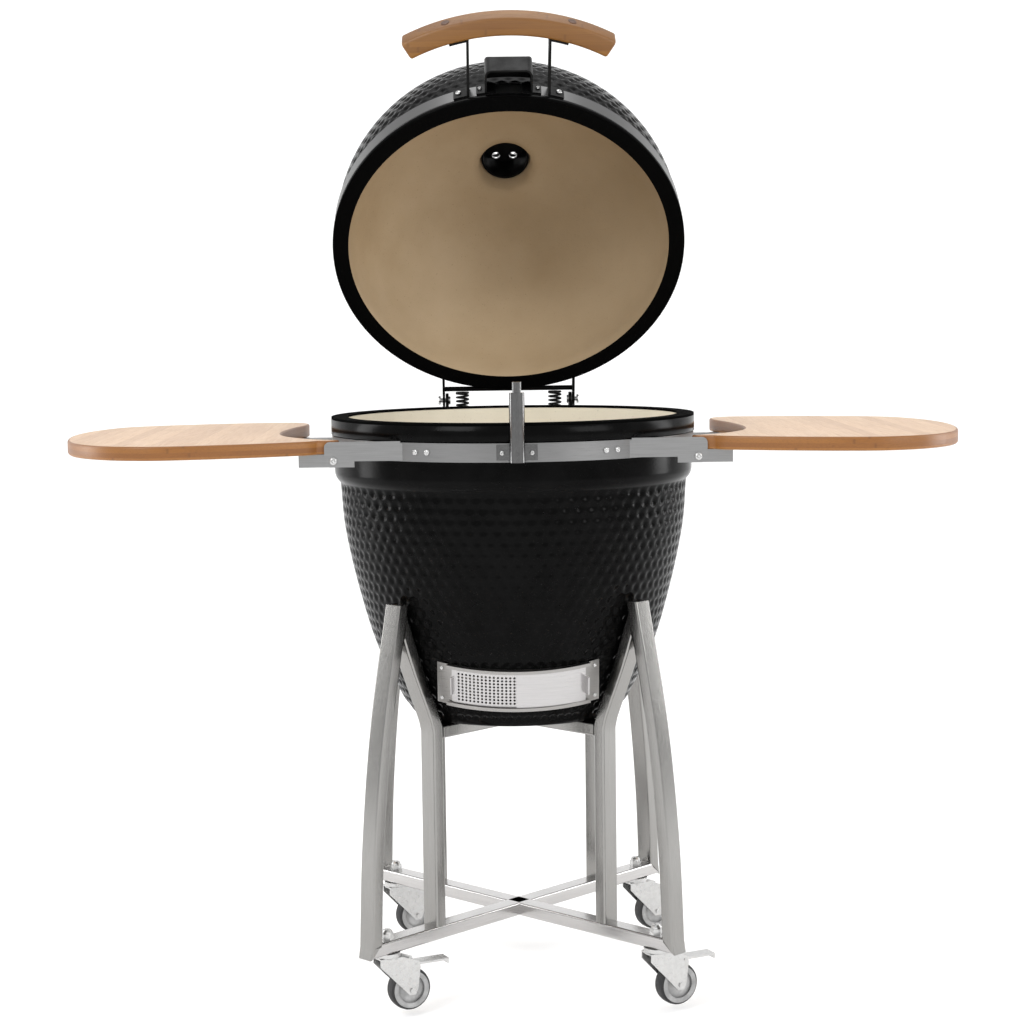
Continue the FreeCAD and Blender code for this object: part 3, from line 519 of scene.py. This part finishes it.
NECK_IN, NECK_OUT = 44.5 * MM, 39.5 * MM
lid_lip = np.array([(RIM_R - 1 * MM, CLAY), (RIM_R, CLAY + 1 * MM), (RIM_R, lb - 3.4 * MM),
                    (RIM_R - .6 * MM, lb - 2.6 * MM), (COLLAR_R, lb - 1.6 * MM), (COLLAR_R, lb + 20 * MM)])
collar_top = smooth_line([(COLLAR_R, lb + 30 * MM), (COLLAR_R, DOME - 2 * MM),
                          (COLLAR_R - .6 * MM, DOME + 3 * MM)], 2 * MM)
dome = quarter(COLLAR_R, NECK_OUT + 8 * MM, DOME, 262 * MM, 2.4 * MM)[2:]
lid_out = np.vstack([lid_lip, collar_top, dome, [(NECK_OUT, dome[-1, 1])]])
dome_in = quarter(RIM_IN, NECK_IN, LID_RIM + 30 * MM, 220 * MM, 12 * MM)
lid_in = np.vstack([[(NECK_OUT, dome[-1, 1] - 1 * MM)], dome_in[::-1],
                    [(RIM_IN, CLAY + 3 * MM), (RIM_IN + 1 * MM, CLAY)]])
lid_len = np.r_[0, np.cumsum(np.linalg.norm(np.diff(lid_out, axis=0), axis=1))]
lid_start = lid_len[len(lid_lip) + len(collar_top)] + 5 * MM
shell_piece("lid_shell_dimpled", lid_out, lid_in, lid_start, lid_len[-1] - 14 * MM, PER_ROW * 7,
            ((.205, PER_ROW), (.155, 62), (.115, 46), (.0, 32)), "lid", "lid_shell",
            [GLAZE, DOME_CLAY], place=SHUT_TO_OPEN)

# ---- shelf boards -------------------------------------------------------------------------------
FRONT_RUN = [(283, -221), (300, -238), (350, -262), (400, -281), (460, -298), (520, -303), (580, -277),
             (630, -215), (659, -120), (671, 0), (660, 110), (628, 197), (590, 231), (543, 252),
             (470, 275), (396, 285), (355, 280), (333, 255), (327, 220), (329, 190)]
INNER_RUN = [(329, 190), (344, 110), (353, 0), (341, -90), (303, -165), (264, -200)]
NOSE_RUN = [(264, -200), (254, -208), (262, -218), (283, -221)]


def board(name, flip, body, node):
    """A flat board with rounded edges: its outline, inset along quarter circles at the top and
    bottom edge, carried from the underside to the top and closed by flat faces."""
    lo, hi = ends(node)
    line = np.vstack([smooth_line(r, 9)[:-1] for r in (FRONT_RUN, INNER_RUN, NOSE_RUN)]) * MM
    line = line[np.r_[True, np.linalg.norm(np.diff(line, axis=0), axis=1) > 1.5 * MM]]
    t = np.roll(line, -1, 0) - np.roll(line, 1, 0)
    t /= np.linalg.norm(t, axis=1, keepdims=True)
    out = np.stack([t[:, 1], -t[:, 0]], -1)
    e = 3.0 * MM
    k = np.linspace(0, np.pi / 2, 5)
    inset = np.r_[e * (1 - np.sin(k)), e * (1 - np.cos(k))]
    height = np.r_[lo[2] + e * (1 - np.cos(k)), hi[2] - e * (1 - np.sin(k))]
    P = np.concatenate([line[None] - out[None] * inset[:, None, None],
                        np.broadcast_to(height[:, None, None], (len(height), len(line), 1))], -1)
    P[..., 1] += AXIS[1]
    if flip:
        P[..., 0] *= -1
    f = capped(P)
    edge = np.r_[np.ones(len(f) - 2, int), 0, 0]
    edge[:len(line)] = 0
    o = make(name, P, f, [BOARD, BOARD_EDGE], body, node, face_mat=edge)
    outward(o)
    o.data.polygons.foreach_set("use_smooth", [len(q.vertices) < 9 for q in o.data.polygons])
    return o


board("shelf_right_board", False, "shelf_right", "shelf_board_right")
board("shelf_left_board", True, "shelf_left", "shelf_board_left")

# ---- grip ---------------------------------------------------------------------------------------
GRIP_R, GRIP_T, GRIP_LEN = 325 * MM, 30 * MM, 318 * MM
band_r = COLLAR_R + 3 * MM
grip_y = -(band_r + 95 * MM + GRIP_T) + GRIP_R
grip_z = lb + 13.5 * MM
half = np.arcsin(GRIP_LEN / 2 / GRIP_R) * .998
mid_r = GRIP_R - GRIP_T / 2


def grip_path(a):
    return np.stack([mid_r * np.sin(a), grip_y - mid_r * np.cos(a), grip_z + 0 * a], -1)


def grip_bar():
    """A rounded square carried along an arc, with both ends eased in over their last 3 mm."""
    ease = np.array([0.0, 0.25, 0.6, 1.0, 1.6, 2.4, 3.2]) * MM / mid_r
    a = np.r_[-half + ease, np.linspace(-half + .015, half - .015, 40), half - ease[::-1]]
    P = bar_along(grip_path(a), GRIP_T - .2 * MM, GRIP_T - .2 * MM, (0, 0, 1), 5 * MM, 5)
    c = P.mean(1, keepdims=True)
    d = np.minimum(a + half, half - a) * mid_r / (3.2 * MM)
    shrink = 1 - 0.10 * (1 - np.clip(d, 0, 1)) ** 2
    P = c + (P - c) * shrink[:, None, None]
    return outward(make("handle_grip_bar", moved(P, SHUT_TO_OPEN), capped(P), GRIP, "lid", "handle_grip"))


grip_bar()


def disc(name, at, normal, radius, height, mats, body, n=20, recess=0.0, sides=None):
    """A low round head standing on a face: a rim, a rounded shoulder and, if asked, a hollow in
    its top. at is a point and normal a direction of the scene. sides makes the hollow that of a
    key with so many sides."""
    prof = [(1.0, 0.0), (1.0, 0.45), (.95, .68), (.82, .88), (.62, .98)]
    if recess:
        prof += [(.50, 1.0), (.46, .97), (.44, 1 - recess), (.0001, 1 - recess)]
    else:
        prof += [(.35, 1.0), (.0001, 1.0)]
    r = np.array([q[0] for q in prof]) * radius
    z = np.array([q[1] for q in prof]) * height
    P = spin(r, z, n)
    if sides:
        a = np.arange(n) * TAU / n
        hexed = np.cos(np.pi / sides) / np.cos((a % (TAU / sides)) - np.pi / sides)
        k = (np.arange(len(r)) >= len(r) - 2) & bool(recess)
        P[k] = P[k] * np.stack([hexed, hexed, np.ones(n)], -1)[None]
    q = Vector(normal).normalized().to_track_quat("Z", "Y").to_matrix().to_4x4()
    P = moved(P, Matrix.Translation(Vector(at)) @ q)
    f = quads(len(P), n, wrap_v=True).tolist() + [list(range(n))[::-1]]
    return make(name, P, f, mats, body)


def on_lid(p):
    """A point given in the shut lid's own place, as metres from the body's axis."""
    return np.array(SHUT_TO_OPEN @ Vector(p))


def lid_dir(d):
    return np.array(TILT @ Vector(d))


PLUG_ANGLE = 0.292                      # from the grip's middle, round its arc
for s in (-1, 1):
    a = s * PLUG_ANGLE
    face = GRIP_R - .1 * MM
    p = (face * np.sin(a), grip_y - face * np.cos(a), grip_z)
    disc("grip_plug_%s" % ("l" if s < 0 else "r"), on_lid(p), lid_dir((np.sin(a), -np.cos(a), 0)),
         6.5 * MM, .8 * MM, PLUG, "lid")


def crisp(o, angle=.75):
    """Arcs shade round and flats flat: edges over the angle are sharp, and each corner's normal
    leans to its larger faces."""
    o.data.polygons.foreach_set("use_smooth", np.full(len(o.data.polygons), True))
    o.data.set_sharp_from_angle(angle=angle)
    w = o.modifiers.new("weighted", "WEIGHTED_NORMAL")
    w.keep_sharp, w.weight = True, 90
    return o


# ---- stand tubes --------------------------------------------------------------------------------
TUBE_W, TUBE_T, CORNER = 30 * MM, 20 * MM, 3.2 * MM
S45 = np.sqrt(.5)
CORNERS = {"fr": (1, -1), "rr": (1, 1), "rl": (-1, 1), "fl": (-1, -1)}
cross_lo, cross_hi = ends("upper_cross")


def on_diagonal(P, corner):
    """Points (out from the axis, across, height) of one corner's diagonal plane, in the scene."""
    sx, sy = CORNERS[corner]
    out = np.array([sx * S45, sy * S45, 0])
    side = np.array([-out[1], out[0], 0])
    return P[..., :1] * out + P[..., 1:2] * side + P[..., 2:] * np.array([0, 0, 1]) + AXIS


def tube(name, line, corner, node, cut_a=None, cut_b=None):
    """A rounded box tube along a line of (radius, height) in the diagonal plane of one corner.
    cut_a and cut_b are (point, normal) planes in that diagonal plane which slide the end rings
    along the tube, so that the ends are mitred."""
    line = np.asarray(line, float)
    zero = np.zeros(len(line))
    P = bar_along(np.stack([line[:, 0], zero, line[:, 1]], -1), TUBE_W - .1 * MM, TUBE_T, (0, 1, 0), CORNER)
    for ring, nxt, cut in ((0, 1, cut_a), (-1, -2, cut_b)):
        if cut is not None:
            q, nrm = np.array([cut[0][0], 0, cut[0][1]]), np.array([cut[1][0], 0, cut[1][1]])
            d = P[ring] - P[nxt]
            k = ((q - P[nxt]) @ nrm) / (d @ nrm)
            P[ring] = P[nxt] + d * k[:, None]
    Q = on_diagonal(P, corner)
    # the lower bars get the lighter copy of the steel, which is painted light
    return crisp(outward(make(name, Q, capped(P), TUBE_PAINTED_LIGHT if "bar" in node else TUBE, "root", node)))


LEG_FOOT, LEG_TOP, POST_FOOT, POST_TOP = (.314, .101), (.249, .604), (.183, .111), (.2392, .602)
LEVEL, MITRE, BRACE_CUT = (0, 1), (1, 1), (.981, .196)      # normals of the tubes' end planes
leg_line = smooth_line([(314, 91), (305.5, 251), (285, 424), (249, 604)], 14)[:, :2] * MM
leg_line[0] = LEG_FOOT
brace_line = smooth_line([(183, 400), (187, 424), (222.8, 508), (245.8, 569)], 12)
post_line = np.vstack([[(183, 111), (183, 250), (183, 380)], brace_line[:-3], brace_line[-1:]]) * MM
for c in CORNERS:
    tube("stand_leg_" + c, leg_line, c, "outer_leg_" + c,
         cut_a=(LEG_FOOT, MITRE), cut_b=(LEG_TOP, LEVEL))
    tube("stand_post_" + c, post_line, c, "inner_post_" + c,
         cut_a=(POST_FOOT, LEVEL), cut_b=(POST_TOP, BRACE_CUT))
    tube("stand_bar_" + c, np.array([(.0, .101), (.08, .101), (.2, .101), LEG_FOOT]), c,
         "lower_bar_" + c, cut_b=(LEG_FOOT, MITRE))
for k, c in enumerate(("fr", "fl")):        # each bar of the cross runs through to the far corner
    r = np.array([-.173, -.1, 0, .1, .173])
    zc = (cross_lo[2] + cross_hi[2]) / 2
    P = bar_along(np.stack([r, 0 * r, 0 * r + zc - .05 * MM * k], -1), TUBE_W - .1 * MM,
                  TUBE_T - .2 * MM * k, (0, 1, 0), CORNER)
    Q = on_diagonal(P, c)
    crisp(outward(make("stand_cross_%d" % k, Q, capped(P), TUBE, "root", "upper_cross" if k == 0 else ())))

# ---- hinge springs ------------------------------------------------------------------------------
spring_lo, spring_hi = ends("hinge_springs")
WIRE, COIL_R = 3.5 * MM, (23 - 3.5) / 2 * MM


def coil(name, x, turns=10.5, per=18, around=8):
    """A round wire carried along a helix. The last .8 turn at each end lies flat."""
    y = (spring_lo[1] + spring_hi[1]) / 2
    z0, z1 = spring_lo[2] + WIRE / 2, spring_hi[2] - WIRE / 2
    t = np.linspace(0, turns, int(turns * per) + 1)
    z = z0 + (z1 - z0) * np.clip((t - .8) / (turns - 1.6), 0, 1)
    a = t * TAU
    path = np.stack([x + COIL_R * np.cos(a), y + COIL_R * np.sin(a), z], -1)
    tan = np.gradient(path, axis=0)
    tan /= np.linalg.norm(tan, axis=1, keepdims=True)
    out = np.stack([np.cos(a), np.sin(a), 0 * a], -1)
    up = np.cross(tan, out)
    b = np.arange(around) * TAU / around
    ring = np.cos(b)[None, :, None] * out[:, None] + np.sin(b)[None, :, None] * up[:, None]
    P = path[:, None] + WIRE / 2 * ring
    o = outward(make(name, P, capped(P), SPRING_BLACK, None))
    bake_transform(o)
    return o


springs = [coil("hinge_spring_" + ("l" if s < 0 else "r"), s * 77 * MM) for s in (-1, 1)]
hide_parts("hinge_springs")

# ---- vent screen: a bent sheet with real holes ---------------------------------------------------
VENT_R, VENT_TILT = 210 * MM, np.radians(15)
VENT_C = Vector((0, -204.5 * MM + VENT_R * np.cos(VENT_TILT) + AXIS[1],
                 478.5 * MM + VENT_R * np.sin(VENT_TILT)))
VENT_M = Matrix.Translation(VENT_C) @ Matrix.Rotation(VENT_TILT, 4, "X")


def bend(u, v, r):
    """Arc length u round the leaning vent axis from the front, height v along it, radius r."""
    a = u / VENT_R
    return moved(np.stack([r * np.sin(a), -r * np.cos(a), v + 0 * a], -1), VENT_M)


def screen():
    """A sheet of square cells, each with a round hole: 12 points on the hole are joined to 12 on
    the cell's edge, front and back, and the hole has its own wall."""
    nx, ny, px, py, hole = 15, 9, 5.95 * MM, 5.1 * MM, 1.75 * MM
    a_l, a_r = np.radians(-27.5), np.radians(2.0)
    u0, u1, h = a_l * VENT_R, a_r * VENT_R, 28.4 * MM
    x0 = u0 + 11 * MM
    k = np.arange(12) * TAU / 12 + TAU / 24
    c, s = np.cos(k), np.sin(k)
    m = np.maximum(abs(c), abs(s))
    ci, cj = np.meshgrid(np.arange(nx), np.arange(ny), indexing="ij")
    cx, cy = (x0 + ci.ravel() * px)[:, None], ((cj.ravel() - (ny - 1) / 2) * py)[:, None]
    r0, r1 = VENT_R + .5 * MM, VENT_R + 1.7 * MM
    rings = []
    for r, w in ((r1, 1), (r1, 0), (r0, 0), (r0, 1)):
        U = cx + (c / m * px / 2 if w else c * hole)
        W = cy + (s / m * py / 2 if w else s * hole)
        rings.append(bend(U, W, r))
    V = np.stack(rings, 1)
    cells = len(V)
    q = quads(4, 12, wrap_v=True)
    f = (q[None] + (np.arange(cells) * 48)[:, None, None]).reshape(-1, 4)
    verts = [V.reshape(-1, 3)]
    faces = [f[:, ::-1]]
    base = cells * 48
    ex = np.array([u0, x0 - px / 2, x0 + (nx - .5) * px, u1])
    ey = np.array([-h, -ny * py / 2, ny * py / 2, h])
    for i0, i1, j0, j1 in ((0, 1, 0, 3), (2, 3, 0, 3), (1, 2, 0, 1), (1, 2, 2, 3)):
        uu = np.linspace(ex[i0], ex[i1], 12)
        loop = [bend(uu, np.full(12, ey[j]), r) for r, j in ((r1, j0), (r1, j1), (r0, j1), (r0, j0))]
        P = np.stack(loop, 1)
        verts.append(P.reshape(-1, 3))
        faces.append(quads(12, 4, wrap_v=True) + base)
        faces.append(np.array([[0, 1, 2, 3], [47, 46, 45, 44]]) + base)
        base += 48
    ut = np.array([u0, u0 + 1.6 * MM])
    tab = [bend(ut, np.full(2, v), r) for v, r in ((-14 * MM, r1 - .2 * MM), (14 * MM, r1 - .2 * MM),
                                                   (14 * MM, r1 + 5 * MM), (-14 * MM, r1 + 5 * MM))]
    verts.append(np.stack(tab, 1).reshape(-1, 3))
    faces.append(quads(2, 4, wrap_v=True) + base)
    faces.append(np.array([[0, 1, 2, 3], [7, 6, 5, 4]]) + base)
    o = make("vent_screen_sheet", np.vstack(verts), np.vstack(faces), SHEET_STEEL, "vent_screen",
             "vent_screen", smooth=False)
    return outward(o)


screen()

# ---- bolt heads and wheel rings ------------------------------------------------------------------
BAND_R, BAND_MID = 276.2 * MM, (band_lo[2] + band_hi[2]) / 2
FOOT_R = BAND_R + 3 * MM                # outer face of what is bolted to a band
BOLT = dict(radius=4.2 * MM, height=3 * MM, recess=.5, sides=6)


def around(r, deg, z, centre=(0, 0)):
    """A point at radius r and the outward direction there, deg from the front towards +X."""
    a = np.radians(deg)
    d = np.array([np.sin(a), -np.cos(a), 0])
    return d * r + [centre[0], centre[1], z], d


def bolt(name, place, mats, body, **size):
    disc(name, tuple(place[0]), tuple(place[1]), mats=mats, body=body, **{**BOLT, **size})


def lid_place(place):
    return on_lid(place[0]), lid_dir(place[1])


for s, tag in ((1, "r"), (-1, "l")):
    for k, deg in enumerate((9.0, 15.7)):       # striker housing and strap feet on the lid's band
        bolt("lid_bolt_%d%s" % (k, tag), lid_place(around(FOOT_R, s * deg, lb + 13.5 * MM)), ZINC, "lid",
             radius=(3.2 if k == 0 else 4.4) * MM)
    for k, deg in enumerate((27.5, 31.5)):      # clamp screws of the front shelf bracket
        bolt("band_bolt_%d%s" % (k, tag), around(BAND_R, s * deg, BAND_MID, AXIS[:2]), ZINC, "root")
    bolt("post_bolt_" + tag, around(FOOT_R, s * 4.3, BAND_MID, AXIS[:2]), ZINC, "root", radius=3.4 * MM)
    bolt("pivot_bolt_" + tag, ((s * .262, AXIS[1] - .223, .8185), (0, -1, 0)), ZINC, "root",
         radius=5.5 * MM, height=3.5 * MM)
    for v, end in ((1, "t"), (-1, "b")):        # the vent frame's corner screws
        u = np.array([s * np.radians(32.4) * VENT_R])
        up = np.array([v * 24 * MM])
        p0, p1 = bend(u, up, VENT_R)[0], bend(u, up, VENT_R + .01)[0]
        bolt("vent_screw_" + tag + end, (p0, p1 - p0), ZINC, "root", radius=3 * MM, height=1.6 * MM)


def wheel_ring(corner, side):
    """A grey ring on one face of a wheel: a low band between two radii, turned about the axle."""
    j = JOINTS["spin_" + corner]
    r = np.array([20.6, 20.6, 21.2, 27.2, 27.8, 27.8]) * MM
    w = np.array([9.0, 11.5, 11.9, 12.1, 11.7, 10.0]) * MM
    P = spin(r, w, 48)
    q = (Vector(j["axis"]) * side).normalized().to_track_quat("Z", "Y").to_matrix().to_4x4()
    o = make("caster_ring_%s_%s" % (corner, "a" if side > 0 else "b"),
             moved(P, Matrix.Translation(Vector(j["pos_m"])) @ q), quads(6, 48, wrap_u=True, wrap_v=True),
             RING, "wheel_" + corner)
    outward(o)


for c in CORNERS:
    for side_ in (1, -1):
        wheel_ring(c, side_)

# ---- finishes on the CAD pieces that stay ---------------------------------------------------------
KEEP = {
    "base_gasket": FELT, "lid_gasket": FELT, "base_band": BAND, "lid_band": LID_BAND_SHADED,
    "firebox": LINER, "fire_ring": LINER, "charcoal_grate": IRON, "cooking_grate": GRATE_STEEL,
    "vent_frame": FRAME_STEEL, "vent_door": SHEET_STEEL, "damper_post": POST_STEEL,
    "damper_rod": POST_STEEL,
    "handle_straps": COAT, "striker_housing": COAT, "chimney_base": COAT, "chimney_rotor": BRIGHT,
    "hinge_lower": COAT, "hinge_upper": COAT, "hinge_pins": ZINC, "caster_stems": ZINC,
    "shelf_arms_left": ARM_STEEL, "shelf_arms_right": ARM_STEEL, "shelf_brackets_left": ARM_STEEL,
    "shelf_brackets_right": ARM_STEEL}
for c in CORNERS:
    KEEP.update({"caster_fork_" + c: ZINC, "wheel_hub_" + c: HUB, "tyre_" + c: TREAD})
for c in ("fr", "fl"):
    KEEP["brake_pedal_" + c] = ZINC
for n, m in KEEP.items():
    me = NODES[n].data
    me.materials.clear()
    me.materials.append(m)


def ease_edges(node, width, angle=0.6):
    """A small rounding on a kept piece's sharp edges."""
    o = NODES[node]
    b = o.modifiers.new("eased", "BEVEL")
    b.width, b.segments, b.limit_method, b.angle_limit = width, 2, "ANGLE", angle
    b.use_clamp_overlap = True


for n in ("striker_housing", "handle_straps"):
    ease_edges(n, .6 * MM)

# ---- studio -------------------------------------------------------------------------------------
scene = bpy.context.scene


def plain(name, color, rough):
    f = Finish(name, roughness=rough, color=color)
    f.set("Base Color", f.ramp(f.noise(f.place(), .8), (0.0, color), (1.0, tuple(k * .995 for k in color))))
    f.set("Emission Color", (1, 1, 1, 1))
    f.set("Emission Strength", .12)
    return f.mat


def floor():
    """A floor that curves up into a wall behind: a profile carried across."""
    yz = smooth_line([(-9, 0), (-3, 0), (4.0, 0), (5.4, .25), (6.0, 1.4), (6.1, 5)], .4)
    x = np.linspace(-9, 9, 3)
    P = np.stack(np.broadcast_arrays(x[None], yz[:, :1], yz[:, 1:]), -1)
    return make("studio_floor", P, quads(len(yz), 3)[:, ::-1],
                plain("studio_white", (.97, .97, .97), .8), None)


stage = [floor()]


def lamp(name, at, target, size, power, size_y=None):
    d = bpy.data.lights.new(name, "AREA")
    d.energy, d.size = power, size
    if size_y:
        d.shape, d.size_y = "RECTANGLE", size_y
    o = bpy.data.objects.new(name, d)
    o.location = at
    o.rotation_euler = (Vector(target) - Vector(at)).to_track_quat("-Z", "Y").to_euler()
    scene.collection.objects.link(o)
    return o


lamp("key", (-2.6, -3.4, 3.2), (0, 0, .8), 1.8, 90)
lamp("fill", (3.2, -3.0, 2.2), (0, 0, .8), 1.8, 55)
lamp("top", (0, .4, 4.2), (0, 0, .8), 2.6, 35)
lamp("side_l", (-3.4, .8, 1.4), (0, 0, .7), .9, 40, 2.2)
lamp("side_r", (3.4, .8, 1.4), (0, 0, .7), .9, 40, 2.2)
world = bpy.data.worlds.new("studio")
world.use_nodes = True
world.node_tree.nodes["Background"].inputs["Color"].default_value = (1, 1, 1, 1)
world.node_tree.nodes["Background"].inputs["Strength"].default_value = .8
scene.world = world
scene.view_settings.view_transform = "Standard"

LENS, DIST, HEIGHT, ACROSS = 76.95, 3.354, 1.0417, -.0687
PITCH, YAW, ROLL = np.radians((5.47, 1.126, -.743))
cam = bpy.data.cameras.new("camera")
cam.sensor_width, cam.lens = 36, LENS
cam_o = bpy.data.objects.new("camera", cam)
cam_o.location = (ACROSS, AXIS[1] - DIST, HEIGHT)
cam_o.rotation_euler = (Matrix.Rotation(-YAW, 3, "Z") @ Matrix.Rotation(np.pi / 2 - PITCH, 3, "X")
                        @ Matrix.Rotation(ROLL, 3, "Z")).to_euler()
scene.collection.objects.link(cam_o)
scene.camera = cam_o
